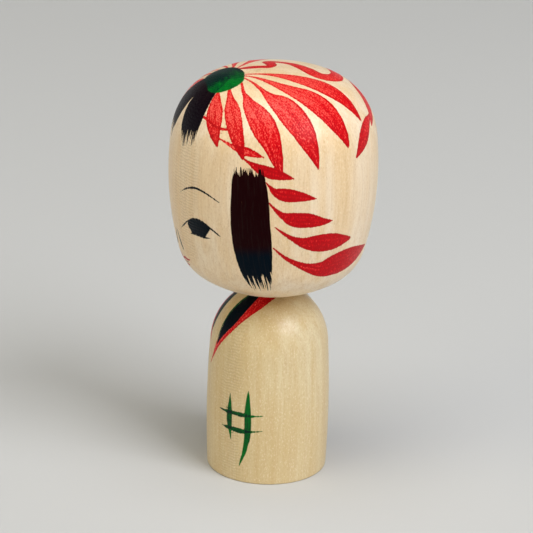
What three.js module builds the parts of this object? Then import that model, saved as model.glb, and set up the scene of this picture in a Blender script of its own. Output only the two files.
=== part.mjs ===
// Kokeshi doll: a wooden doll turned on a lathe in two blanks, a head and a body,
// held together by a round peg. The head turns on the body about the upright axis.
//
// Units are millimetres. +Z is up, the origin is the centre of the base's foot plane,
// and the doll faces -Y. Every solid is a solid of revolution about the Z axis.

import * as THREE from 'three';

// ---- driving dimensions -------------------------------------------------

const DOLL_HEIGHT = 91; // three sun, the traditional size

// The body's wall is one long arc, widest at the belly.
const BELLY_RADIUS = 13.56;
const BELLY_HEIGHT = 12.5;
const WALL_ARC = 260;

// The shoulder arc starts where the wall ends and closes in to the flat neck seat.
const SHOULDER_HEIGHT = 29.5;
const SHOULDER_ARC = 14;
const BODY_SEAT_HEIGHT = 41.3;

// The head rests on the body's seat with a fitting gap.
const SEAT_GAP = 0.3;
const HEAD_SEAT_HEIGHT = BODY_SEAT_HEIGHT + SEAT_GAP;

// The head's outline, from the top down: each arc runs until the surface
// faces the given angle above the horizontal, in degrees.
const HEAD_ARCS = [
  { name: 'crown', radius: 46, until: 76.7 },
  { name: 'crown edge', radius: 16.5, until: 62 },
  { name: 'brow', radius: 13.7, until: 29.5 },
  { name: 'temple', radius: 16, until: 7 },
  { name: 'cheek', radius: 67, until: -15 },
  { name: 'jaw', radius: 10, until: -58 },
];
const CHIN_ARC = 30; // last arc, under the jaw and in to the head's seat

// The peg is glued into the head and turns in the body's socket.
const PEG_RADIUS = 3;
const PEG_IN_BODY = 13;
const PEG_IN_HEAD = 11;
const PEG_CHAMFER = 0.6;
const PEG_CLEARANCE = 0.1; // around the peg, in both sockets
const SOCKET_END_GAP = 0.5; // beyond each end of the peg

const FOOT_CHAMFER = 0.3; // broken edge around the base

const STEPS_ROUND = 64; // facets around the axis
const ARC_STEP = 5; // largest turn of the outline between two points, degrees
const WALL_STEPS = 6; // points on the long, nearly straight wall arc

// ---- outlines -------------------------------------------------------------

const radians = THREE.MathUtils.degToRad;
const degrees = THREE.MathUtils.radToDeg;

// An outline point: x is the radius from the axis and y is the height.
const point = (radius, height) => new THREE.Vector2(radius, height);

// Points of an arc that goes on from `start`, where the surface faces the angle `from`,
// to where it faces the angle `to`. The start itself isn't repeated.
function arcFrom(start, from, to, radius, steps = Math.ceil(Math.abs(to - from) / ARC_STEP)) {
  const centreX = start.x - radius * Math.cos(radians(from));
  const centreY = start.y - radius * Math.sin(radians(from));
  const points = [];
  for (let i = 1; i <= steps; i += 1) {
    const angle = radians(from + ((to - from) * i) / steps);
    points.push(point(centreX + radius * Math.cos(angle), centreY + radius * Math.sin(angle)));
  }
  return points;
}

// The angle that an arc faces once it has climbed by `rise` from the angle `from`.
const angleAfterRise = (from, rise, radius) =>
  degrees(Math.asin(Math.sin(radians(from)) + rise / radius));

const last = (points) => points[points.length - 1];

// A closed solid of revolution. The outline starts and ends on the axis
// and runs upwards on its outside.
function turned(outline, name, material) {
  const mesh = new THREE.Mesh(new THREE.LatheGeometry(outline, STEPS_ROUND), material);
  mesh.geometry.rotateX(Math.PI / 2);
  mesh.name = name;
  return mesh;
}

// ---- materials ------------------------------------------------------------

const paintedWood = new THREE.MeshStandardMaterial({ color: 0xe6cfa6, roughness: 0.42, metalness: 0 });
const rawWood = new THREE.MeshStandardMaterial({ color: 0xd9be90, roughness: 0.6, metalness: 0 });

// ---- pieces ---------------------------------------------------------------

const pegBottom = BODY_SEAT_HEIGHT - PEG_IN_BODY;
const pegTop = HEAD_SEAT_HEIGHT + PEG_IN_HEAD;
const socketRadius = PEG_RADIUS + PEG_CLEARANCE;

function body() {
  const footAngle = -degrees(Math.asin(BELLY_HEIGHT / WALL_ARC));
  const wallTop = degrees(Math.asin((SHOULDER_HEIGHT - BELLY_HEIGHT) / WALL_ARC));
  const footRadius = BELLY_RADIUS - WALL_ARC * (1 - Math.cos(radians(footAngle)));
  const foot = point(footRadius, 0);
  const wall = arcFrom(foot, footAngle, wallTop, WALL_ARC, WALL_STEPS);
  const shoulderRise = BODY_SEAT_HEIGHT - SHOULDER_HEIGHT;
  const seatAngle = angleAfterRise(wallTop, shoulderRise, SHOULDER_ARC);
  const shoulder = arcFrom(last(wall), wallTop, seatAngle, SHOULDER_ARC);
  const socketFloor = pegBottom - SOCKET_END_GAP;
  const outline = [
    point(0, 0),
    point(footRadius - FOOT_CHAMFER, 0),
    point(footRadius, FOOT_CHAMFER),
    ...wall,
    ...shoulder,
    point(socketRadius, BODY_SEAT_HEIGHT),
    point(socketRadius, socketFloor),
    point(0, socketFloor),
  ];
  return turned(outline, 'body', paintedWood);
}

function head() {
  const outside = [point(0, DOLL_HEIGHT)];
  let facing = 90;
  for (const arc of HEAD_ARCS) {
    outside.push(...arcFrom(last(outside), facing, arc.until, arc.radius));
    facing = arc.until;
  }
  const chinDrop = HEAD_SEAT_HEIGHT - last(outside).y;
  const seatAngle = angleAfterRise(facing, chinDrop, CHIN_ARC);
  outside.push(...arcFrom(last(outside), facing, seatAngle, CHIN_ARC));
  const socketRoof = pegTop + SOCKET_END_GAP;
  const outline = [
    point(0, socketRoof),
    point(socketRadius, socketRoof),
    point(socketRadius, HEAD_SEAT_HEIGHT),
    ...outside.reverse(),
  ];
  return turned(outline, 'head', paintedWood);
}

function neckPeg() {
  const outline = [
    point(0, pegBottom),
    point(PEG_RADIUS - PEG_CHAMFER, pegBottom),
    point(PEG_RADIUS, pegBottom + PEG_CHAMFER),
    point(PEG_RADIUS, pegTop - PEG_CHAMFER),
    point(PEG_RADIUS - PEG_CHAMFER, pegTop),
    point(0, pegTop),
  ];
  return turned(outline, 'neck_peg', rawWood);
}

// ---- assembly -------------------------------------------------------------

const doll = new THREE.Group();
doll.add(body());

// The head and its peg turn together.
const headGroup = new THREE.Group();
headGroup.add(head(), neckPeg());
doll.add(headGroup);

export default doll;
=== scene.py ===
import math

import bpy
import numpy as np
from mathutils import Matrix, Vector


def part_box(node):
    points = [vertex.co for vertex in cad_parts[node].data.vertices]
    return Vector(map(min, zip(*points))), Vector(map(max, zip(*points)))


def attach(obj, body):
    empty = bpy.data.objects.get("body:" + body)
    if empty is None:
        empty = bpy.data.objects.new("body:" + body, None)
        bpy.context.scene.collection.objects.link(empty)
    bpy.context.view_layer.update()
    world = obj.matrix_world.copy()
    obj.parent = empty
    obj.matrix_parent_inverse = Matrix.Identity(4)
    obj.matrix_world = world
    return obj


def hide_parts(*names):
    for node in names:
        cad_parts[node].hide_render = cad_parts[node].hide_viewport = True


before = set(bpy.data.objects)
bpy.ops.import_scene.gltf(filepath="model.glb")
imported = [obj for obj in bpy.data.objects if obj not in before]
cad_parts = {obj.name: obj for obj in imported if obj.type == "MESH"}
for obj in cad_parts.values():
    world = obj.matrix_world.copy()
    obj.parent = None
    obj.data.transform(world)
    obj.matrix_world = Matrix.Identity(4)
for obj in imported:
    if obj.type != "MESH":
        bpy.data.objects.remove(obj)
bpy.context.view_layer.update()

# The looks of a small kokeshi doll, turned from pale dogwood and painted with a brush.
#
# Head, body and peg are turned again here as fine meshes with the frame's own outlines.
# Every vertex carries how deep it lies inside the painted strokes, in millimetres, and the
# materials turn those numbers into dye and ink on waxed wood.
#
# Lengths are in millimetres until a mesh is made, and angles are in degrees. "Around" is
# the angle about the upright axis: 0 is the front (-Y), 90 the doll's own left (+X).

MM = 0.001


def box_mm(node):
    """Lowest and highest corner of a CAD node, in millimetres."""
    low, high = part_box(node)
    return np.array(low) / MM, np.array(high) / MM


# ---- outlines, the same arcs as the frame's -------------------------------------------

BELLY_HEIGHT = 12.5
WALL_ARC = 260
SHOULDER_HEIGHT = 29.5
SHOULDER_ARC = 14
HEAD_ARCS = (  # radius, and the angle above the horizontal that the surface faces at its end
    (46, 76.7),
    (16.5, 62),
    (13.7, 29.5),
    (16, 7),
    (67, -15),
    (10, -58),
)
CHIN_ARC = 30
FOOT_ROUND = 0.3
FOOT_STEP = FOOT_ROUND / 4
PEG_CHAMFER = 0.6
PEG_CLEARANCE = 0.1
SOCKET_END_GAP = 0.5

_, BODY_HIGH = box_mm("body")
HEAD_LOW, HEAD_HIGH = box_mm("head")
PEG_LOW, PEG_HIGH = box_mm("neck_peg")
SOCKET_RADIUS = PEG_HIGH[0] + PEG_CLEARANCE


def facing(angle):
    """Unit (radius, height) vector at an angle above the horizontal."""
    return np.array([math.cos(math.radians(angle)), math.sin(math.radians(angle))])


def arc_from(start, angle, until, radius, step):
    """Points of an arc that goes on from start, about step apart, without the start."""
    count = max(1, round(abs(math.radians(until - angle)) * radius / step))
    centre = start - radius * facing(angle)
    return [centre + radius * facing(a) for a in np.linspace(angle, until, count + 1)[1:]]


def angle_after_rise(angle, rise, radius):
    """The angle that an arc faces once it has climbed by rise."""
    return math.degrees(math.asin(math.sin(math.radians(angle)) + rise / radius))


def line_to(start, end, step):
    """Points from start to end, about step apart, without the start."""
    start, end = np.array(start, float), np.array(end, float)
    count = max(1, round(np.linalg.norm(end - start) / step))
    return [start + (end - start) * i / count for i in range(1, count + 1)]


def head_outside(step):
    """The head's outside, from the crown down to the edge of its seat."""
    points = [np.array([0.0, HEAD_HIGH[2]])]
    angle = 90
    for radius, until in HEAD_ARCS:
        points += arc_from(points[-1], angle, until, radius, step)
        angle = until
    seat_angle = angle_after_rise(angle, HEAD_LOW[2] - points[-1][1], CHIN_ARC)
    points += arc_from(points[-1], angle, seat_angle, CHIN_ARC, step)
    widest = max(point[0] for point in points)
    return [point * (HEAD_HIGH[0] / widest, 1) for point in points]


def body_outside(step):
    """The body's outside, from the rounded foot up to the edge of its seat."""
    foot_angle = -math.degrees(math.asin(BELLY_HEIGHT / WALL_ARC))
    wall_top = math.degrees(math.asin((SHOULDER_HEIGHT - BELLY_HEIGHT) / WALL_ARC))
    foot_radius = BODY_HIGH[0] - WALL_ARC * (1 - math.cos(math.radians(foot_angle)))
    start = np.array([foot_radius - FOOT_ROUND, 0.0])
    points = [start] + arc_from(start, -90, foot_angle, FOOT_ROUND, FOOT_STEP)
    angle = math.degrees(math.asin((points[-1][1] - BELLY_HEIGHT) / WALL_ARC))
    points += arc_from(points[-1], angle, wall_top, WALL_ARC, step)
    seat_angle = angle_after_rise(wall_top, BODY_HIGH[2] - points[-1][1], SHOULDER_ARC)
    return points + arc_from(points[-1], wall_top, seat_angle, SHOULDER_ARC, step)


def socket(mouth, end):
    """A blind socket, from the rim of its mouth in to the axis at its end."""
    return [
        np.array([SOCKET_RADIUS, mouth]),
        np.array([SOCKET_RADIUS, end]),
        np.array([0.0, end]),
    ]


# ---- turned meshes --------------------------------------------------------------------

HEAD_SIDES = 400
BODY_SIDES = 320
PEG_SIDES = 96
HEAD_STEP = 0.34
BODY_STEP = 0.28
SEAT_STEP = 1.0
SHARP_ANGLE = 35


def turned(name, outline, sides):
    """A closed solid of revolution. The outline starts and ends on the axis and runs up its
    outside. Vertices are the first pole, then ring after ring, then the last pole."""
    rings = np.array(outline[1:-1])
    turn = np.arange(sides) * 2 * math.pi / sides
    across = np.stack([np.sin(turn), -np.cos(turn)], -1)
    round_points = rings[:, None, :1] * across[None]
    heights = np.broadcast_to(rings[:, None, 1:], round_points.shape[:2] + (1,))
    vertices = np.concatenate([round_points, heights], -1).reshape(-1, 3)
    poles = [[0, 0, outline[0][1]], [0, 0, outline[-1][1]]]
    vertices = np.concatenate([poles[:1], vertices, poles[1:]]) * MM

    here = np.arange(sides)
    there = (here + 1) % sides
    faces = [(0, int(b) + 1, int(a) + 1) for a, b in zip(here, there)]
    for ring in range(len(rings) - 1):
        low, high = 1 + ring * sides, 1 + (ring + 1) * sides
        quads = np.stack([low + here, low + there, high + there, high + here], -1)
        faces += quads.tolist()
    final, top = len(vertices) - 1, 1 + (len(rings) - 1) * sides
    faces += [(top + int(a), top + int(b), final) for a, b in zip(here, there)]

    mesh = bpy.data.meshes.new(name)
    mesh.from_pydata(vertices.tolist(), [], faces)
    mesh.shade_smooth()
    mesh.set_sharp_from_angle(angle=math.radians(SHARP_ANGLE))
    piece = bpy.data.objects.new(name, mesh)
    bpy.context.scene.collection.objects.link(piece)
    return piece


def distances(outline, first, last):
    """How far each outline point lies along the outline from the first one. Points outside
    first..last, which nobody paints, count as the nearest end."""
    steps = np.linalg.norm(np.diff(np.array(outline), axis=0), axis=1)
    along = np.concatenate([[0], np.cumsum(steps)])
    return np.clip(along, along[first], along[last]) - along[first]


def on_vertices(per_point, sides):
    """Spreads one number per outline point over a turned mesh's vertices."""
    return np.concatenate([per_point[:1], np.repeat(per_point[1:-1], sides), per_point[-1:]])


def around_vertices(rings, sides):
    """The angle around, -180 to 180, of a turned mesh's vertices."""
    turn = np.arange(sides) * 360.0 / sides
    turn = (turn + 180) % 360 - 180
    return np.concatenate([[0], np.tile(turn, rings), [0]])


# ---- brush strokes --------------------------------------------------------------------

OUTSIDE = -5.0  # depth given to a vertex that no stroke comes near
REACH = 3.0  # how far beyond its edge a stroke is worked out
FINE_REACH = 1.0  # how far from its middle a fine line is worked out
FINE_HALF = 0.6  # a fine stroke is a fine line where it is narrower than twice this
THINNEST_HALF = 0.02
SHORTEST = 1e-9  # a stretch of curve shorter than this has no direction
NO_FRAY = 9.0  # for a stroke whose end the brush's hairs don't fray
SAMPLES = 12  # curve samples between two points of a stroke


class Paint:
    """One pigment on one surface, as numbers at its vertices."""

    FIELDS = ("depth", "crossing", "tone", "lane", "fray", "thin_side", "thin_half")

    def __init__(self, count):
        self.depth = np.full(count, OUTSIDE)  # how far inside the nearest stroke
        self.crossing = np.full(count, OUTSIDE)  # how far inside one more stroke
        self.tone = np.zeros(count)  # how heavily the pigment lies: 0 is thin, 1 is heavy
        self.lane = np.zeros(count)  # distance across the stroke, which its hairs keep to
        self.fray = np.full(count, NO_FRAY)  # 0 at a frayed end, 1 where all hairs touch
        self.thin_side = np.zeros(count)  # signed distance from the middle of a fine line
        self.thin_half = np.full(count, OUTSIDE)  # half width of that fine line

    def store(self, mesh, name):
        """Writes the numbers to the mesh, as the attributes that the material reads."""
        for field in self.FIELDS:
            layer = mesh.attributes.new(f"{name}_{field}", "FLOAT", "POINT")
            layer.data.foreach_set("value", getattr(self, field).astype(np.float32))


def smooth_curve(points):
    """A Catmull-Rom curve through the rows of points."""
    points = np.array(points, float)
    before, after = 2 * points[:1] - points[1:2], 2 * points[-1:] - points[-2:-1]
    ends = np.concatenate([before, points, after])
    t = np.linspace(0, 1, SAMPLES, endpoint=False)[:, None]
    pieces = []
    for a, b, c, d in zip(ends, ends[1:], ends[2:], ends[3:]):
        cubic = 2 * b + (c - a) * t + (2 * a - 5 * b + 4 * c - d) * t**2
        pieces.append((cubic + (3 * b - a - 3 * c + d) * t**3) / 2)
    return np.concatenate(pieces + [points[-1:]])


def lay(paint, chart, stroke, tone=(0.5, 0.5, 0.5), fray=(0, 0), fine=False):
    """Lays one stroke. Each row of stroke is (x, y, half width) on the chart. Tone is the
    pigment's weight at the start, middle and end, and may run past 0 or 1, where it tells no
    more. Fray is how long the start and the end are where the brush's hairs part. A fine
    stroke keeps its thin stretches crisp."""
    curve = smooth_curve(stroke)
    half = np.maximum(curve[:, 2], THINNEST_HALF)
    low = curve[:, :2].min(0) - half.max() - REACH
    high = curve[:, :2].max(0) + half.max() + REACH
    near = np.flatnonzero(((chart > low) & (chart < high)).all(1))
    spot = chart[near]

    best = np.full(len(near), np.inf)
    run, side, width, beyond = (np.zeros(len(near)) for _ in range(4))
    lengths = np.linalg.norm(np.diff(curve[:, :2], axis=0), axis=1)
    starts = np.concatenate([[0], np.cumsum(lengths)])
    for i in np.flatnonzero(lengths > SHORTEST):
        forward = (curve[i + 1, :2] - curve[i, :2]) / lengths[i]
        away = spot - curve[i, :2]
        ahead = away @ forward
        held = np.clip(ahead, 0, lengths[i])
        width_here = half[i] + (half[i + 1] - half[i]) * held / lengths[i]
        score = np.linalg.norm(away - held[:, None] * forward, axis=1) - width_here
        closer = score < best
        best[closer] = score[closer]
        run[closer] = (starts[i] + ahead)[closer]
        side[closer] = (away[:, 0] * forward[1] - away[:, 1] * forward[0])[closer]
        width[closer] = width_here[closer]
        beyond[closer] = np.abs(ahead - held)[closer]

    total = starts[-1]
    start_fray, end_fray = fray
    left = np.full(len(near), NO_FRAY)
    if start_fray:
        left = np.minimum(left, run / start_fray)
    if end_fray:
        left = np.minimum(left, (total - run) / end_fray)
    depth = -best
    over = depth > np.maximum(paint.depth[near], -REACH)
    under = np.where(over, paint.depth[near], depth)
    paint.crossing[near] = np.maximum(paint.crossing[near], under)
    where = near[over]
    paint.depth[where] = depth[over]
    paint.tone[where] = np.interp(run / total, (0, 0.5, 1), tone)[over]
    paint.lane[where] = side[over]
    paint.fray[where] = left[over]
    if fine:
        thin_half = width - beyond
        thin = (np.abs(side) < FINE_REACH) & (width < FINE_HALF)
        thin &= thin_half > paint.thin_half[near]
        paint.thin_side[near[thin]] = side[thin]
        paint.thin_half[near[thin]] = thin_half[thin]


def fill(paint, chart, corners, tone):
    """Fills a closed shape with straight sides, in one even tone."""
    corners = np.array(corners, float)
    low, high = corners.min(0) - REACH, corners.max(0) + REACH
    near = np.flatnonzero(((chart > low) & (chart < high)).all(1))
    spot = chart[near]
    distance = np.full(len(near), np.inf)
    inside = np.zeros(len(near), bool)
    for a, b in zip(corners, np.roll(corners, -1, axis=0)):
        t = np.clip((spot - a) @ (b - a) / ((b - a) @ (b - a)), 0, 1)
        distance = np.minimum(distance, np.linalg.norm(spot - a - t[:, None] * (b - a), axis=1))
        if a[1] != b[1]:
            crosses = (a[1] > spot[:, 1]) != (b[1] > spot[:, 1])
            x = a[0] + (spot[:, 1] - a[1]) * (b[0] - a[0]) / (b[1] - a[1])
            inside ^= crosses & (spot[:, 0] < x)
    depth = np.where(inside, distance, -distance)
    over = depth > paint.depth[near]
    paint.tone[near[over]] = tone
    paint.fray[near[over]] = NO_FRAY
    paint.depth[near] = np.maximum(paint.depth[near], depth)


def mirrored(stroke, way, stray=(0, 0)):
    """The stroke itself for way 1, or for -1 the same stroke on the other half, moved a
    little, because no two brush strokes are alike."""
    if way == 1:
        return [tuple(row) for row in stroke]
    return [(-x + stray[0], y + stray[1], half) for x, y, half in stroke]


BOTH = (1, -1)
hand = np.random.default_rng(7)


def drift(size):
    """How far the hand strays when it repeats a stroke on the other side."""
    return hand.normal(0, size, 2)


# ---- the head's painting --------------------------------------------------------------
#
# The crown chart lays the head's surface out flat around its top, in mm: x is towards the
# doll's left and y towards its back. The side chart is unrolled: x is the angle around and
# y the distance down from the crown along the surface. Rows end with the half width.

KNOT = ((-2.9, -11.2, 3.95), (0.0, -11.3, 4.2), (2.7, -12.0, 4.05))
NEAR_FORELOCK = (
    (1.0, -12.0, 1.6), (2.0, -14.0, 2.3), (2.6, -16.0, 2.9), (3.3, -18.0, 3.45), (4.3, -20.3, 3.95),
    (5.4, -22.4, 4.0), (6.5, -24.4, 3.6), (7.5, -26.4, 3.0), (8.2, -28.0, 2.5),
)
FAR_FORELOCK = (
    (-1.0, -12.0, 1.6), (-2.0, -14.0, 2.3), (-2.8, -16.5, 3.0), (-3.7, -19.3, 3.7), (-4.6, -21.8, 4.2),
    (-5.3, -24.0, 4.1), (-6.2, -26.3, 3.5), (-7.1, -28.6, 2.6),
)
PETALS = (
    (
        (2.0, -7.2, 0.25), (3.4, -4.5, 0.38), (5.0, -1.8, 0.8), (6.9, 1.2, 1.55), (9.0, 4.3, 2.25),
        (11.4, 8.0, 2.5), (13.6, 11.6, 1.85), (15.3, 14.3, 1.05), (16.5, 16.3, 0.25),
    ),
    (
        (2.6, -7.8, 0.25), (4.6, -6.1, 0.35), (7.2, -4.4, 0.65), (10.0, -2.5, 1.15), (12.6, -0.2, 1.8),
        (14.9, 2.6, 2.55), (17.5, 5.5, 2.8), (20.4, 8.4, 2.25), (22.6, 10.8, 1.35), (24.3, 12.4, 0.4),
    ),
    (
        (3.2, -8.3, 0.25), (6.2, -7.4, 0.28), (9.2, -6.7, 0.45), (11.8, -6.05, 0.75), (14.0, -5.2, 1.45),
        (16.3, -3.6, 2.5), (19.3, -2.1, 2.95), (22.3, -0.5, 2.75), (25.2, 0.9, 2.2), (28.2, 2.4, 1.2),
        (30.5, 3.5, 0.3),
    ),
    (
        (4.0, -9.0, 0.25), (9.3, -10.05, 0.38), (11.5, -10.1, 0.75), (13.6, -10.2, 1.4), (16.7, -9.65, 2.35),
        (20.0, -9.0, 2.85), (23.3, -8.35, 2.4), (26.7, -8.0, 1.75), (29.2, -7.7, 1.0), (30.8, -7.5, 0.3),
    ),
    (
        (6.0, -12.2, 0.25), (9.5, -13.2, 0.8), (13.0, -14.1, 1.8), (17.0, -15.1, 1.9), (20.5, -15.8, 1.4),
        (23.3, -16.3, 0.5),
    ),
    (
        (5.5, -14.6, 0.3), (8.2, -16.4, 1.4), (11.0, -18.0, 2.2), (14.0, -19.6, 1.6), (17.0, -20.8, 0.4),
    ),
)
FAR_PETAL_TURNS = (16, 13, 10, 7, 4, 2)  # how much wider the fan opens on the far side
RIBBON = (
    (-2.6, -7.0, 0.55), (-1.9, -5.0, 1.0), (-1.2, -3.0, 0.95), (-0.6, -1.4, 1.0), (-1.8, -0.3, 1.1),
    (-4.9, -0.1, 1.3), (-4.6, 1.5, 0.9), (-2.4, 4.2, 1.15), (1.0, 6.0, 1.7), (4.4, 7.4, 1.9),
    (5.6, 9.2, 1.95), (4.6, 11.7, 1.7), (2.0, 13.3, 1.5), (-1.6, 13.9, 1.45), (-6.0, 14.0, 1.2),
    (-9.4, 15.6, 1.0), (-6.6, 17.9, 1.3), (-1.0, 18.4, 1.8), (4.0, 18.9, 2.15), (7.0, 20.1, 2.1),
    (10.0, 20.9, 1.5), (12.0, 21.1, 0.95), (14.0, 21.2, 0.25),
)
BACK_LEAF = (
    (11.0, 20.5, 0.25), (13.0, 19.8, 0.6), (15.5, 18.9, 1.3), (19.0, 18.1, 1.9), (22.2, 17.3, 1.4),
    (25.2, 16.4, 0.3),
)
FAR_LEAF = (
    (-14.0, 20.8, 0.25), (-17.0, 19.2, 1.1), (-20.5, 17.9, 1.8), (-24.0, 16.8, 1.3), (-27.0, 15.6, 0.3),
)

PETAL_TONE = (0.1, 0.3, 0.75)
RIBBON_TONE = (0.7, 0.4, 0.55)
LEAF_TONE = (0.4, 0.7, 0.9)
KNOT_TONE = (1.3, 0.75, 0.1)
FORELOCK_TONE = (0.5, 0.45, 0.4)
FORELOCK_FRAY = (0, 3.8)
PETAL_DRIFT = 0.25

SIDE_LOCK = (
    (58.3, 30.3, 1.7), (58.5, 31.2, 2.75), (58.8, 32.6, 3.4), (59.6, 36.8, 3.93), (59.9, 41.0, 4.13),
    (60.6, 45.2, 4.26), (61.7, 49.3, 4.15), (62.8, 52.5, 3.76), (64.2, 55.2, 3.25), (65.8, 57.7, 2.6),
    (66.6, 59.9, 1.9),
)
TEMPLE_STROKES = (
    ((23.5, 21.9, 0.3), (30.0, 22.5, 0.35), (38.0, 23.3, 0.35), (46.0, 23.2, 0.2)),
    (
        (38.5, 25.2, 0.15), (43.0, 25.7, 0.25), (49.0, 26.5, 0.5), (56.0, 27.1, 0.95), (61.0, 27.5, 0.7),
        (66.5, 28.1, 0.15),
    ),
    (
        (54.5, 28.4, 0.15), (59.0, 29.4, 0.4), (64.0, 30.4, 0.95), (70.0, 31.2, 1.25), (76.0, 31.8, 0.95),
        (83.0, 32.5, 0.15),
    ),
    (
        (68.0, 33.2, 0.15), (70.5, 34.3, 0.35), (73.0, 35.2, 0.75), (77.0, 35.8, 1.35), (82.0, 36.1, 1.4),
        (88.0, 36.5, 0.95), (95.5, 37.1, 0.15),
    ),
    (
        (70.0, 37.6, 0.15), (73.5, 39.1, 0.4), (78.0, 40.5, 0.8), (84.0, 41.4, 1.6), (92.0, 41.8, 1.6),
        (100.0, 42.4, 0.85), (106.0, 42.5, 0.2),
    ),
    (
        (73.5, 43.0, 0.15), (79.0, 44.6, 0.35), (85.0, 46.0, 0.7), (91.0, 46.9, 1.3), (97.0, 47.2, 1.9),
        (104.0, 47.4, 2.1), (111.0, 47.6, 1.7), (121.0, 47.8, 0.4),
    ),
    (
        (73.0, 47.8, 0.15), (79.0, 49.9, 0.4), (86.0, 51.6, 0.65), (94.0, 53.0, 1.1), (103.0, 53.8, 1.9),
        (110.0, 53.5, 2.6), (118.0, 53.2, 2.9), (126.0, 53.0, 2.6), (135.0, 52.8, 1.7), (146.0, 52.4, 0.3),
    ),
)
THIN_TEMPLE_TONE = (0.1, 0.3, 0.5)
BOLD_TEMPLE_TONE = (0.5, 0.95, 0.85)
TEMPLE_TONES = 2 * [THIN_TEMPLE_TONE] + 5 * [BOLD_TEMPLE_TONE]
LOCK_TONE = (0.9, 0.9, -0.9)
LOCK_FRAY = (2.0, 5.6)
TEMPLE_DRIFT = 0.3
LOCK_DRIFT = 0.2

BROW = (
    (12.5, 39.3, 0.07), (17.0, 38.2, 0.16), (22.0, 37.4, 0.24), (27.0, 37.05, 0.26), (33.0, 37.4, 0.22),
    (38.0, 38.05, 0.17), (42.5, 38.8, 0.11),
)
UPPER_LID = (
    (8.4, 48.1, 0.05), (11.2, 47.3, 0.13), (14.0, 46.5, 0.17), (16.9, 45.6, 0.19), (19.5, 44.95, 0.2),
    (23.0, 44.25, 0.22), (27.0, 43.95, 0.22), (31.0, 44.15, 0.22), (35.0, 44.85, 0.22), (38.8, 45.6, 0.23),
    (42.4, 46.4, 0.17),
)
LOWER_LID = (
    (19.3, 48.05, 0.06), (22.0, 47.82, 0.13), (27.0, 47.75, 0.17), (30.3, 47.75, 0.2), (33.2, 47.6, 0.2),
    (35.5, 47.45, 0.12),
)
IRIS = (
    (17.6, 45.8), (19.5, 44.95), (23.0, 44.25), (27.0, 43.95), (31.0, 44.15), (34.0, 44.7), (36.2, 45.2),
    (34.9, 46.1), (33.5, 46.8), (32.0, 47.7), (21.0, 47.7), (20.1, 47.1), (18.6, 46.6),
)
NOSE = ((1.6, 49.2, 0.1), (2.9, 50.9, 0.28), (4.6, 52.5, 0.4), (6.2, 53.5, 0.18))
UPPER_LIP = ((0.0, 56.2, 0.22), (4.5, 55.6, 0.36), (8.5, 55.6, 0.32), (12.5, 55.2, 0.08))
LOWER_LIP = ((-8.5, 57.0, 0.12), (-4.0, 57.5, 0.3), (0.0, 57.6, 0.34), (4.0, 57.5, 0.3), (8.5, 57.0, 0.12))
LIP_LINE = (
    (-9.5, 56.1, 0.05), (-4.0, 56.65, 0.11), (0.0, 56.6, 0.12), (4.0, 56.65, 0.11), (9.5, 56.1, 0.05),
)
# the eyes and fine ink lines lie thin, in the dry ink's blue-black, whose blue is a painted reflection
IRIS_TONE = 0.1
LINE_TONE = 3 * (IRIS_TONE,)
LIP_TONE = (0.8, 0.8, 0.8)
LINE_DRIFT = 0.05

UNROLLED_RADIUS = 22.0  # turns the side chart's angles into mm


def unrolled(stroke, radius=UNROLLED_RADIUS):
    """A stroke whose x is an angle around, with x in mm instead."""
    return [(math.radians(row[0]) * radius, *row[1:]) for row in stroke]


def turned_about_knot(stroke, angle):
    """A stroke on the crown chart, turned anticlockwise about the knot."""
    cos, sin = math.cos(math.radians(angle)), math.sin(math.radians(angle))
    centre_x, centre_y, _ = KNOT[1]
    rows = []
    for x, y, half in stroke:
        across, along = x - centre_x, y - centre_y
        new_x = centre_x + cos * across - sin * along
        new_y = centre_y + sin * across + cos * along
        rows.append((new_x, new_y, half))
    return rows


def paint_crown(red, ink, green, chart):
    """The forelock, the knot that ties it, and the ribbon and petals that fan out from it."""
    for way in BOTH:
        for petal, turn in zip(PETALS, FAR_PETAL_TURNS):
            stroke = mirrored(petal, way, drift(PETAL_DRIFT))
            if way == -1:
                stroke = turned_about_knot(stroke, turn)
            lay(red, chart, stroke, tone=PETAL_TONE)
    for leaf in (BACK_LEAF, FAR_LEAF):
        lay(red, chart, leaf, tone=LEAF_TONE)
    lay(red, chart, RIBBON, tone=RIBBON_TONE)
    for forelock in (NEAR_FORELOCK, FAR_FORELOCK):
        lay(ink, chart, forelock, tone=FORELOCK_TONE, fray=FORELOCK_FRAY)
    lay(green, chart, KNOT, tone=KNOT_TONE)


def paint_temples(red, ink, chart):
    """The side locks and the red strokes of hair behind them."""
    for way in BOTH:
        for stroke, tone in zip(TEMPLE_STROKES, TEMPLE_TONES):
            hair = mirrored(unrolled(stroke), way, drift(TEMPLE_DRIFT))
            lay(red, chart, hair, tone=tone, fine=True)
        lock = mirrored(unrolled(SIDE_LOCK), way, drift(LOCK_DRIFT))
        lay(ink, chart, lock, tone=LOCK_TONE, fray=LOCK_FRAY)


def paint_face(red, ink, chart):
    """Brows, eyes, nose and mouth, in fine lines."""
    for way in BOTH:
        for stroke in (BROW, UPPER_LID, LOWER_LID, NOSE):
            line = mirrored(unrolled(stroke), way, drift(LINE_DRIFT))
            lay(ink, chart, line, tone=LINE_TONE, fine=True)
        corners = [(way * x, y) for x, y in unrolled(IRIS)]
        fill(ink, chart, corners, tone=IRIS_TONE)
        lay(red, chart, mirrored(unrolled(UPPER_LIP), way), tone=LIP_TONE, fine=True)
    lay(red, chart, unrolled(LOWER_LIP), tone=LIP_TONE, fine=True)
    lay(ink, chart, unrolled(LIP_LINE), tone=LINE_TONE, fine=True)


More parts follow.
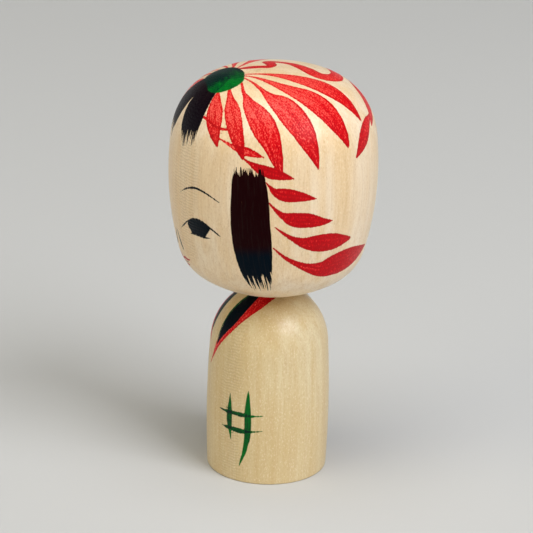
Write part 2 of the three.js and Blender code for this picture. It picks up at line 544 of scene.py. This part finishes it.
def paint_head(around, down):
    """The head's red dye, green dye and black ink."""
    red, green, ink = (Paint(len(around)) for _ in range(3))
    turn = np.radians(around)
    crown = np.stack([down * np.sin(turn), -down * np.cos(turn)], -1)
    side = np.stack([turn * UNROLLED_RADIUS, down], -1)
    paint_crown(red, ink, green, crown)
    paint_temples(red, ink, side)
    paint_face(red, ink, side)
    return {"red": red, "ink": ink, "green": green}


# ---- the body's painting --------------------------------------------------------------
#
# Its chart is unrolled too: x is the angle around and y the distance up from the foot.

NEAR_COLLAR = {
    "red": (
        (-1.0, 25.0, 0.08), (6.0, 27.9, 0.35), (12.0, 30.5, 0.7), (18.0, 33.0, 1.1), (25.0, 35.6, 1.45),
        (33.0, 38.3, 1.75), (43.0, 40.9, 2.1), (55.3, 43.2, 2.35), (66.2, 44.7, 2.3), (81.0, 46.0, 2.2),
        (95.0, 47.0, 2.2),
    ),
    "ink": (
        (11.0, 30.4, 0.1), (14.2, 32.5, 0.62), (18.0, 34.8, 1.3), (21.9, 37.1, 1.95), (25.6, 39.3, 2.25),
        (29.0, 41.1, 2.3), (32.6, 42.8, 2.35), (36.5, 44.6, 2.4),
    ),
    "green": (
        (10.4, 31.0, 0.08), (11.4, 33.4, 0.18), (12.1, 35.6, 0.26), (13.2, 38.0, 0.32), (15.8, 40.5, 0.44),
        (19.4, 42.6, 0.5), (24.8, 44.8, 0.5),
    ),
}
FAR_COLLAR = {
    "red": (
        (-6.5, 29.6, 0.08), (-9.5, 31.3, 0.45), (-14.0, 33.2, 0.85), (-21.0, 35.4, 1.2), (-30.0, 37.8, 1.5),
        (-43.0, 41.0, 1.9), (-55.0, 43.4, 2.2), (-66.0, 44.9, 2.2), (-81.0, 46.0, 2.2), (-95.0, 47.0, 2.2),
    ),
    "ink": (
        (-9.0, 31.6, 0.1), (-10.8, 33.6, 0.6), (-13.2, 35.8, 1.15), (-16.4, 38.0, 1.6), (-20.3, 40.2, 1.8),
        (-25.0, 42.6, 1.8), (-30.0, 45.0, 1.7),
    ),
    "green": (
        (-8.0, 32.0, 0.08), (-7.9, 34.2, 0.18), (-8.4, 36.4, 0.26), (-10.3, 39.0, 0.32), (-13.8, 41.2, 0.36),
        (-18.3, 43.3, 0.5), (-23.8, 45.2, 0.5),
    ),
}
WELL_FRAME = (
    (
        (34.7, 20.7, 0.08), (34.4, 18.0, 0.52), (34.2, 15.3, 0.73), (34.5, 13.6, 0.68), (35.2, 11.8, 0.36),
        (36.4, 10.0, 0.06),
    ),
    (
        (53.5, 22.2, 0.1), (53.4, 20.4, 0.42), (53.6, 17.6, 0.72), (53.7, 14.5, 0.8), (53.5, 11.5, 0.74),
        (51.8, 8.9, 0.58), (50.3, 7.4, 0.5), (48.3, 5.9, 0.32), (45.4, 4.0, 0.06),
    ),
    (
        (25.0, 12.7, 0.06), (30.0, 12.6, 0.32), (38.0, 12.6, 0.58), (48.0, 12.5, 0.6), (57.0, 12.7, 0.3),
        (68.0, 13.1, 0.05),
    ),
    (
        (21.5, 16.4, 0.06), (30.0, 16.3, 0.36), (40.0, 16.4, 0.52), (50.0, 16.35, 0.52), (58.0, 16.4, 0.28),
        (69.0, 16.7, 0.05),
    ),
)
COLLAR_TONES = {"red": (0.3, 0.5, 0.9), "ink": (0.3, 0.3, 0.3), "green": (0.7, 0.7, 0.7)}
WELL_FRAME_TONES = ((0.3, 0.6, 0.2), (0.2, 0.5, 0.1), (0.7, 0.55, 0.2), (0.7, 0.6, 0.2))
BAR_DRIFT = 0.2
BODY_UNROLLED_RADIUS = 13.4


def paint_body(around, up):
    """The body's red dye, green dye and black ink."""
    paints = {name: Paint(len(around)) for name in ("red", "green", "ink")}
    chart = np.stack([np.radians(around) * BODY_UNROLLED_RADIUS, up], -1)
    for collar in (FAR_COLLAR, NEAR_COLLAR):
        for name, stroke in collar.items():
            line = unrolled(stroke, BODY_UNROLLED_RADIUS)
            lay(paints[name], chart, line, tone=COLLAR_TONES[name], fine=True)
    for way in BOTH:
        for bar, tone in zip(WELL_FRAME, WELL_FRAME_TONES):
            stroke = mirrored(unrolled(bar, BODY_UNROLLED_RADIUS), way, drift(BAR_DRIFT))
            lay(paints["green"], chart, stroke, tone=tone, fine=True)
    return paints


# ---- node helpers ---------------------------------------------------------------------


class Shader:
    """A material, with short names for the nodes that it is made of."""

    def __init__(self, name, **surface):
        self.material = bpy.data.materials.new(name)
        self.material.use_nodes = True
        self.tree = self.material.node_tree
        self.surface = self.tree.nodes["Principled BSDF"]
        for socket_name, value in surface.items():
            self.surface.inputs[socket_name.replace("_", " ")].default_value = value

    def put(self, target, value):
        """Links an output socket to an input, or sets the input to a plain value."""
        if isinstance(value, bpy.types.NodeSocket):
            self.tree.links.new(value, target)
        else:
            target.default_value = value

    def node(self, kind, **settings):
        made = self.tree.nodes.new(kind)
        for key, value in settings.items():
            setattr(made, key, value)
        return made

    def math(self, operation, *values, clamp=False):
        made = self.node("ShaderNodeMath", operation=operation, use_clamp=clamp)
        for target, value in zip(made.inputs, values):
            self.put(target, value)
        return made.outputs[0]

    def total(self, *values):
        result = values[0]
        for value in values[1:]:
            result = self.math("ADD", result, value)
        return result

    def swing(self, value, size):
        """A number from 0 to 1 as one that swings about 0, this size from end to end."""
        return self.math("MULTIPLY", self.math("SUBTRACT", value, 0.5), size)

    def number(self, name):
        """A number that the mesh carries at its vertices."""
        return self.node("ShaderNodeAttribute", attribute_name=name).outputs["Fac"]

    def place(self, stretch=(1, 1, 1)):
        """Where the surface is, in mm, squeezed along each axis by stretch."""
        spot = self.node("ShaderNodeTexCoord").outputs["Object"]
        scaled = self.node("ShaderNodeVectorMath", operation="MULTIPLY")
        self.put(scaled.inputs[0], spot)
        scaled.inputs[1].default_value = [s / MM for s in stretch]
        return scaled.outputs[0]

    def noise(self, place, scale, detail=2.0, roughness=0.5, distortion=0.0):
        made = self.node("ShaderNodeTexNoise")
        self.put(made.inputs["Vector"], place)
        values = {"Scale": scale, "Detail": detail, "Roughness": roughness, "Distortion": distortion}
        for key, value in values.items():
            made.inputs[key].default_value = value
        return made.outputs["Fac"]

    def ramp(self, value, low, high, out_low=0.0, out_high=1.0):
        """Maps low..high smoothly to out_low..out_high."""
        made = self.node("ShaderNodeMapRange", interpolation_type="SMOOTHSTEP")
        for target, number in zip(made.inputs, (value, low, high, out_low, out_high)):
            self.put(target, number)
        return made.outputs[0]

    def blend(self, amount, under, over):
        """Colour under where amount is 0, over where it is 1."""
        made = self.node("ShaderNodeMix", data_type="RGBA")
        colours = [s for s in made.inputs if s.type == "RGBA"]
        self.put(made.inputs["Factor"], amount)
        self.put(colours[0], under)
        self.put(colours[1], over)
        return [s for s in made.outputs if s.type == "RGBA"][0]

    def finish(self, tint, roughness, height, bump_depth):
        self.put(self.surface.inputs["Base Color"], tint)
        self.put(self.surface.inputs["Roughness"], roughness)
        bump = self.node("ShaderNodeBump")
        bump.inputs["Strength"].default_value = 1.0
        bump.inputs["Distance"].default_value = bump_depth * MM
        self.put(bump.inputs["Height"], height)
        self.put(self.surface.inputs["Normal"], bump.outputs[0])
        return self.material


def linear(level):
    """A screen level, 0 to 255, as linear light, by the sRGB rule."""
    share = level / 255
    return share / 12.92 if level <= 10 else ((share + 0.055) / 1.055) ** 2.4


def colour(red, green, blue):
    """A screen colour, 0 to 255, as the shader's linear colour."""
    return (linear(red), linear(green), linear(blue), 1.0)


# ---- materials ------------------------------------------------------------------------

HEAD_WOOD = (colour(245, 225, 196), colour(232, 197, 144))  # pale and golden
# the body's dogwood: like the head's, but darker and greener, as a painted shade and a painted greenish
# reflection
SHADED_GREENISH_BODY_WOOD = (colour(230, 213, 172), colour(214, 185, 128))
PEG_WOOD = (colour(233, 208, 166), colour(222, 190, 140))
FIBRE_BROWN = colour(206, 166, 112)
RING_BROWN = colour(199, 158, 102)
PORE_BROWN = colour(188, 148, 96)
# pale specks of the wood's cells, lightened as painted sheen glints
CELL_AND_SHEEN_CREAM = colour(252, 236, 206)
RIPPLE_BROWN = colour(190, 160, 112)

# thin red dye, its pale pink partly a painted sheen
RED_THIN_AND_SHEEN = colour(240, 92, 80)
RED_FULL = colour(214, 10, 20)
RED_POOLED = colour(180, 0, 12)
# thin dry ink, its blue a painted reflection
INK_DRY_AND_BLUE_REFLECTION = colour(0, 13, 24)
INK_FULL = colour(27, 1, 3)
INK_STREAK = colour(44, 34, 30)
INK_SCRATCH = colour(110, 74, 52)
GREEN_THIN = colour(0, 108, 32)
GREEN_HEAVY = colour(1, 34, 28)

PITH = (-64.0, 31.0, 0.0)  # the tree's heart lay outside the blank
RING_WIDTH = 2.3
RING_WAVER = 1.6
RING_STRENGTH = 0.16

CHATTER_PITCH = 0.66
CHATTER_WAVER = 9  # radians
CHATTER_STRENGTH = 0.34
CHATTER_ELSEWHERE = 0.06  # how much of the ripples is left away from their strips
HEAD_RIPPLED_SIDE = 15
BODY_RIPPLED_SIDE = 34

EDGE_HAIRS = 2.9  # how finely the brush's hairs part, per mm
RED_HAIRS = 2.2
INK_HAIRS = 2.6
GREEN_HAIRS = 1.3
FRAY_SLOPE = 1.6
CREEP = 0.45  # how far a stroke's edge strays along the fibres

DYE_DULLS = 0.75  # how much of the wood's shine the dyes take away
INK_DULLS = 0.95
FULL_SHINE = colour(255, 255, 255)
NO_SHINE = colour(0, 0, 0)
WAX = 0.65
BUMP_DEPTH = 0.035
PEG_BUMP_DEPTH = 0.04


def growth_rings(shader, streaks):
    """Year rings, 0 in the early wood and rising to 1 at each ring's dense edge."""
    from_pith = shader.node("ShaderNodeVectorMath", operation="SUBTRACT")
    shader.put(from_pith.inputs[0], shader.place((1, 1, 0.02)))
    from_pith.inputs[1].default_value = PITH
    radius = shader.node("ShaderNodeVectorMath", operation="LENGTH")
    shader.put(radius.inputs[0], from_pith.outputs[0])
    phase = shader.math("MULTIPLY", radius.outputs["Value"], 1 / RING_WIDTH)
    phase = shader.math("ADD", phase, shader.math("MULTIPLY", streaks, RING_WAVER))
    return shader.math("POWER", shader.math("FRACT", phase), 3.0)


def wood_grain(shader, pale, golden):
    """Dogwood between two tints: its colour, its fibres, its fine pores, and pale specks of its cells that
    are lightened as painted sheen glints.
    """
    fibres = shader.noise(shader.place((1, 1, 0.035)), 2.6, detail=4, roughness=0.62)
    streaks = shader.noise(shader.place((1, 1, 0.012)), 0.42, detail=3, roughness=0.55)
    pores = shader.noise(shader.place((1, 1, 0.55)), 3.4, detail=2, roughness=0.6)
    clouds = shader.noise(shader.place((1, 1, 0.3)), 0.09, detail=2)

    tint = shader.blend(shader.ramp(streaks, 0.3, 0.7, 0, 0.6), pale, golden)
    tint = shader.blend(shader.ramp(clouds, 0.35, 0.65, 0, 0.5), tint, golden)
    tint = shader.blend(shader.ramp(fibres, 0.42, 0.72, 0, 0.3), tint, FIBRE_BROWN)
    rings = shader.math("MULTIPLY", growth_rings(shader, streaks), RING_STRENGTH)
    tint = shader.blend(rings, tint, RING_BROWN)
    tint = shader.blend(shader.ramp(pores, 0.54, 0.74, 0, 0.3), tint, PORE_BROWN)
    # pale cream specks between the pores: the wood's pale cells, made lighter as painted sheen glints
    tint = shader.blend(shader.ramp(pores, 0.26, 0.46, 0.45, 0), tint, CELL_AND_SHEEN_CREAM)
    return tint, fibres, pores


def chatter(shader, facing_angle):
    """Fine ripples across the grain, left where the trembling tool met it head on: on the
    side that faces this angle around, and on the opposite side."""
    split = shader.node("ShaderNodeSeparateXYZ")
    shader.put(split.inputs[0], shader.place())
    x, y, z = split.outputs
    sin, cos = math.sin(math.radians(facing_angle)), math.cos(math.radians(facing_angle))
    along = shader.math("ADD", shader.math("MULTIPLY", x, sin), shader.math("MULTIPLY", y, -cos))
    across = shader.math("ADD", shader.math("MULTIPLY", x, cos), shader.math("MULTIPLY", y, sin))
    aside = shader.math("ABSOLUTE", shader.math("DIVIDE", across, along))
    strip = shader.ramp(aside, 0.12, 0.36, 1, CHATTER_ELSEWHERE)
    patches = shader.noise(shader.place((1, 1, 0.3)), 0.3, detail=2)
    strip = shader.math("MULTIPLY", strip, shader.ramp(patches, 0.35, 0.55, 0.3, 1))
    wobble = shader.noise(shader.place((1, 1, 0.6)), 0.8, detail=2)
    turns = shader.math("MULTIPLY", z, 2 * math.pi / CHATTER_PITCH)
    turns = shader.math("ADD", turns, shader.math("MULTIPLY", wobble, CHATTER_WAVER))
    return shader.math("MULTIPLY", shader.math("SINE", turns), strip)


def hair_marks(shader, name, scale):
    """Streaks that run along a pigment's strokes, as the brush's hairs do. 0 to 1."""
    height = shader.node("ShaderNodeSeparateXYZ")
    shader.put(height.inputs[0], shader.place((1, 1, 0.05)))
    lanes = shader.node("ShaderNodeCombineXYZ")
    shader.put(lanes.inputs[0], shader.number(f"{name}_lane"))
    shader.put(lanes.inputs[1], height.outputs["Z"])
    return shader.ramp(shader.noise(lanes.outputs[0], scale, detail=2, roughness=0.6), 0.36, 0.66)


def stroke_depth(shader, name, fibres):
    """Depth inside a pigment's strokes, with edges that creep along the fibres and ends that
    fray where the brush's hairs parted."""
    fine = shader.math("ABSOLUTE", shader.number(f"{name}_thin_side"))
    fine = shader.math("SUBTRACT", shader.number(f"{name}_thin_half"), fine)
    depth = shader.math("MAXIMUM", shader.number(f"{name}_depth"), fine)
    hairs = hair_marks(shader, name, EDGE_HAIRS)
    frayed = shader.math("SUBTRACT", shader.number(f"{name}_fray"), hairs)
    depth = shader.math("MINIMUM", depth, shader.math("MULTIPLY", frayed, FRAY_SLOPE))
    return shader.math("ADD", depth, shader.swing(fibres, CREEP))


def red_dye(shader, wood, fibres, pores):
    """Red dye soaks in unevenly. It is heaviest where it pooled and where strokes cross. Its pale pink,
    where the dye is thin and in specks over the pores, is partly painted sheen.
    """
    depth = stroke_depth(shader, "red", fibres)
    pooled = shader.ramp(depth, 0.1, 0.7, 0.35, 0.0)
    crossed = shader.ramp(shader.number("red_crossing"), 0.0, 0.25, 0.0, 0.5)
    streaks = shader.swing(hair_marks(shader, "red", RED_HAIRS), 0.35)
    weight = shader.total(shader.number("red_tone"), pooled, crossed, streaks)
    # light and dark specks over the pores; the pale pink ones are painted sheen glints on the dye
    weight = shader.math("ADD", weight, shader.swing(pores, 2.4), clamp=True)
    dye = shader.blend(shader.ramp(weight, 0, 0.5), RED_THIN_AND_SHEEN, RED_FULL)
    dye = shader.blend(shader.ramp(weight, 0.45, 1.0), dye, RED_POOLED)
    cover = shader.ramp(depth, -0.06, 0.08)
    return shader.blend(cover, wood, dye), cover


def black_ink(shader, under, fibres):
    """Black ink: warm where the brush was full, blue-black where it ran dry, a blue that is a painted
    reflection.
    """
    depth = stroke_depth(shader, "ink", fibres)
    full = shader.ramp(shader.number("ink_tone"), 0.25, 0.65)
    # where the ink ran dry it turns blue-black: thin ink under a painted bluish reflection
    ink = shader.blend(full, INK_DRY_AND_BLUE_REFLECTION, INK_FULL)
    streaks = hair_marks(shader, "ink", INK_HAIRS)
    ink = shader.blend(shader.ramp(streaks, 0.6, 1.0, 0, 0.2), ink, INK_STREAK)
    scratches = shader.noise(shader.place((1.6, 1.6, 0.3)), 1.1, detail=3, roughness=0.75, distortion=0.4)
    ink = shader.blend(shader.ramp(scratches, 0.7, 0.8, 0, 0.3), ink, INK_SCRATCH)
    cover = shader.ramp(depth, -0.05, 0.09)
    return shader.blend(cover, under, ink), cover


def green_dye(shader, under, ink, fibres, pores):
    """Green dye, in clouds and streaks, darker over ink and where two strokes cross."""
    depth = stroke_depth(shader, "green", fibres)
    streaks = shader.swing(hair_marks(shader, "green", GREEN_HAIRS), 0.3)
    clouds = shader.swing(shader.noise(shader.place(), 0.55, detail=3, roughness=0.6), 1.6)
    weight = shader.total(shader.number("green_tone"), streaks, clouds, shader.swing(pores, 1.2))
    weight = shader.total(weight, shader.math("MULTIPLY", ink, 0.5))
    crossed = shader.ramp(shader.number("green_crossing"), 0, 0.2, 0, 0.6)
    weight = shader.math("ADD", weight, crossed, clamp=True)
    dye = shader.blend(weight, GREEN_THIN, GREEN_HEAVY)
    cover = shader.ramp(depth, -0.06, 0.1)
    return shader.blend(cover, under, dye), cover


def painted_wood(name, pale, golden, rippled_side):
    """Waxed dogwood under red and green dye and black ink, which dull its shine."""
    shader = Shader(name, Coat_Roughness=0.32, Specular_IOR_Level=0.15)
    wood, fibres, pores = wood_grain(shader, pale, golden)
    ripples = chatter(shader, rippled_side)
    wood = shader.blend(shader.ramp(ripples, 0.1, 0.9, 0, CHATTER_STRENGTH), wood, RIPPLE_BROWN)
    painted, red = red_dye(shader, wood, fibres, pores)
    painted, ink = black_ink(shader, painted, fibres)
    painted, green = green_dye(shader, painted, ink, fibres, pores)
    dyed = shader.math("MULTIPLY", shader.math("MAXIMUM", red, green), DYE_DULLS)
    dulled = shader.math("MAXIMUM", dyed, shader.math("MULTIPLY", ink, INK_DULLS))
    shine = shader.blend(dulled, FULL_SHINE, NO_SHINE)
    shader.put(shader.surface.inputs["Specular Tint"], shine)
    wax = shader.math("MULTIPLY", shader.math("SUBTRACT", 1.0, dulled), WAX)
    shader.put(shader.surface.inputs["Coat Weight"], wax)
    roughness = shader.ramp(pores, 0.3, 0.7, 0.34, 0.5)
    height = shader.total(
        shader.math("MULTIPLY", ripples, 0.8),
        shader.math("MULTIPLY", fibres, 0.8),
        shader.math("MULTIPLY", pores, 0.9),
    )
    return shader.finish(painted, roughness, height, BUMP_DEPTH)


def bare_wood():
    """The peg: the same wood, cut and left without wax."""
    shader = Shader("bare_dogwood", Specular_IOR_Level=0.3)
    wood, fibres, pores = wood_grain(shader, *PEG_WOOD)
    roughness = shader.ramp(fibres, 0.3, 0.7, 0.55, 0.75)
    height = shader.total(fibres, pores)
    return shader.finish(wood, roughness, height, PEG_BUMP_DEPTH)


# ---- pieces ---------------------------------------------------------------------------


def make_head():
    """The head, with its outline built from the crown down and turned from the socket out."""
    outside = head_outside(HEAD_STEP)
    seat = line_to(outside[-1], (SOCKET_RADIUS, HEAD_LOW[2]), SEAT_STEP)[:-1]
    inside = socket(HEAD_LOW[2], PEG_HIGH[2] + SOCKET_END_GAP)
    outline = (outside + seat + inside)[::-1]
    piece = turned("turned_head", outline, HEAD_SIDES)
    first, last = len(seat) + len(inside), len(outline) - 1
    down = distances(outline, first, last)
    down = down[-1] - down
    around = around_vertices(len(outline) - 2, HEAD_SIDES)
    for name, paint in paint_head(around, on_vertices(down, HEAD_SIDES)).items():
        paint.store(piece.data, name)
    piece.data.materials.append(painted_wood("painted_head_wood", *HEAD_WOOD, HEAD_RIPPLED_SIDE))
    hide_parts("head")
    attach(piece, "head")


def make_body():
    """The body, with its outline built from the middle of the foot out and up."""
    outside = body_outside(BODY_STEP)
    base = [np.array([0.0, 0.0])] + line_to((0, 0), outside[0], SEAT_STEP)[:-1]
    seat = line_to(outside[-1], (SOCKET_RADIUS, BODY_HIGH[2]), SEAT_STEP)[:-1]
    outline = base + outside + seat + socket(BODY_HIGH[2], PEG_LOW[2] - SOCKET_END_GAP)
    piece = turned("turned_body", outline, BODY_SIDES)
    first, last = len(base), len(base) + len(outside) - 1
    up = distances(outline, first, last)
    around = around_vertices(len(outline) - 2, BODY_SIDES)
    for name, paint in paint_body(around, on_vertices(up, BODY_SIDES)).items():
        paint.store(piece.data, name)
    piece.data.materials.append(painted_wood("painted_body_wood", *SHADED_GREENISH_BODY_WOOD, BODY_RIPPLED_SIDE))
    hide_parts("body")
    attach(piece, "body")


def make_peg():
    """The peg, which turns with the head."""
    low, high, radius = PEG_LOW[2], PEG_HIGH[2], PEG_HIGH[0]
    outline = [
        (0, low),
        (radius - PEG_CHAMFER, low),
        (radius, low + PEG_CHAMFER),
        (radius, high - PEG_CHAMFER),
        (radius - PEG_CHAMFER, high),
        (0, high),
    ]
    piece = turned("turned_neck_peg", outline, PEG_SIDES)
    piece.data.materials.append(bare_wood())
    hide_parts("neck_peg")
    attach(piece, "head")


# ---- floor, light and camera ----------------------------------------------------------

CAMERA_AROUND = 72.0
CAMERA_ABOVE = 20.4
CAMERA_DISTANCE = 500.0
CAMERA_ROLL = 1.34  # the picture leans this much
AIM_HEIGHT = 46.1
AIM_LEFT = 0.96  # the camera aims this far to the picture's left of the axis
CAMERA_NEAR = 10.0  # nothing nearer than this is drawn
LENS = 155.3  # mm, on Blender's 36 mm sensor


def away(around, above):
    """Unit vector from the doll towards an angle around and above the horizon."""
    turn, rise = math.radians(around), math.radians(above)
    return Vector((math.sin(turn) * math.cos(rise), -math.cos(turn) * math.cos(rise), math.sin(rise)))


def make_camera():
    back = away(CAMERA_AROUND, CAMERA_ABOVE)
    right = Vector((0, 0, 1)).cross(back).normalized()
    up = back.cross(right)
    aim = Vector((0, 0, AIM_HEIGHT)) - right * AIM_LEFT
    roll = math.radians(CAMERA_ROLL)
    leaned_right = right * math.cos(roll) + up * math.sin(roll)
    leaned_up = back.cross(leaned_right)
    place = Matrix.Translation((aim + back * CAMERA_DISTANCE) * MM)
    turn = Matrix((leaned_right, leaned_up, back)).transposed().to_4x4()
    camera = bpy.data.objects.new("camera", bpy.data.cameras.new("camera"))
    camera.data.lens = LENS
    camera.data.clip_start = CAMERA_NEAR * MM
    camera.matrix_world = place @ turn
    bpy.context.scene.collection.objects.link(camera)
    bpy.context.scene.camera = camera


def soft_light(name, around, above, distance, size, power, tint=(1, 1, 1)):
    """A square soft box that points at the doll."""
    lamp = bpy.data.lights.new(name, "AREA")
    lamp.color = tint
    lamp.size = size * MM
    lamp.energy = power
    light = bpy.data.objects.new(name, lamp)
    direction = away(around, above)
    light.location = (direction * distance + Vector((0, 0, AIM_HEIGHT))) * MM
    light.rotation_euler = direction.to_track_quat("Z", "Y").to_euler()
    bpy.context.scene.collection.objects.link(light)


WARM = (1.0, 0.9, 0.61)
COOL = (0.93, 0.95, 1.0)
FLOOR_HALF = 1000
FLOOR_GREY = colour(196, 196, 194)
WALL_WHITE = colour(236, 237, 238)
WALL_GLOW = 0.58
WALL_UNTIL = 0.02  # heights are shares of straight up
CEILING_GLOW = 0.06
CEILING_FROM = 0.3


def make_floor():
    half = FLOOR_HALF * MM
    corners = [(-half, -half, 0), (half, -half, 0), (half, half, 0), (-half, half, 0)]
    mesh = bpy.data.meshes.new("floor")
    mesh.from_pydata(corners, [], [(0, 1, 2, 3)])
    floor = bpy.data.objects.new("floor", mesh)
    shader = Shader("pale_floor", Roughness=0.85, Base_Color=FLOOR_GREY)
    mesh.materials.append(shader.material)
    bpy.context.scene.collection.objects.link(floor)


def make_world():
    """A room with pale walls and a dim ceiling and floor, so that it hardly lights the doll
    from above or below."""
    world = bpy.data.worlds.new("studio")
    world.use_nodes = True
    nodes, links = world.node_tree.nodes, world.node_tree.links
    direction = nodes.new("ShaderNodeTexCoord").outputs["Generated"]
    split = nodes.new("ShaderNodeSeparateXYZ")
    links.new(direction, split.inputs[0])
    height = nodes.new("ShaderNodeMath")
    height.operation = "ABSOLUTE"
    links.new(split.outputs["Z"], height.inputs[0])
    glow = nodes.new("ShaderNodeMapRange")
    glow.interpolation_type = "SMOOTHSTEP"
    for target, value in zip(glow.inputs[1:], (WALL_UNTIL, CEILING_FROM, WALL_GLOW, CEILING_GLOW)):
        target.default_value = value
    links.new(height.outputs[0], glow.inputs[0])
    background = nodes["Background"]
    background.inputs["Color"].default_value = WALL_WHITE
    links.new(glow.outputs[0], background.inputs["Strength"])
    bpy.context.scene.world = world


make_camera()
make_body()
make_head()
make_peg()
make_floor()
make_world()
soft_light("key", around=120, above=42, distance=1600, size=860, power=20, tint=COOL)
soft_light("fill", around=10, above=30, distance=2000, size=1540, power=11.4, tint=WARM)
soft_light("top", around=60, above=80, distance=2400, size=1800, power=36)
bpy.context.scene.view_settings.view_transform = "Standard"
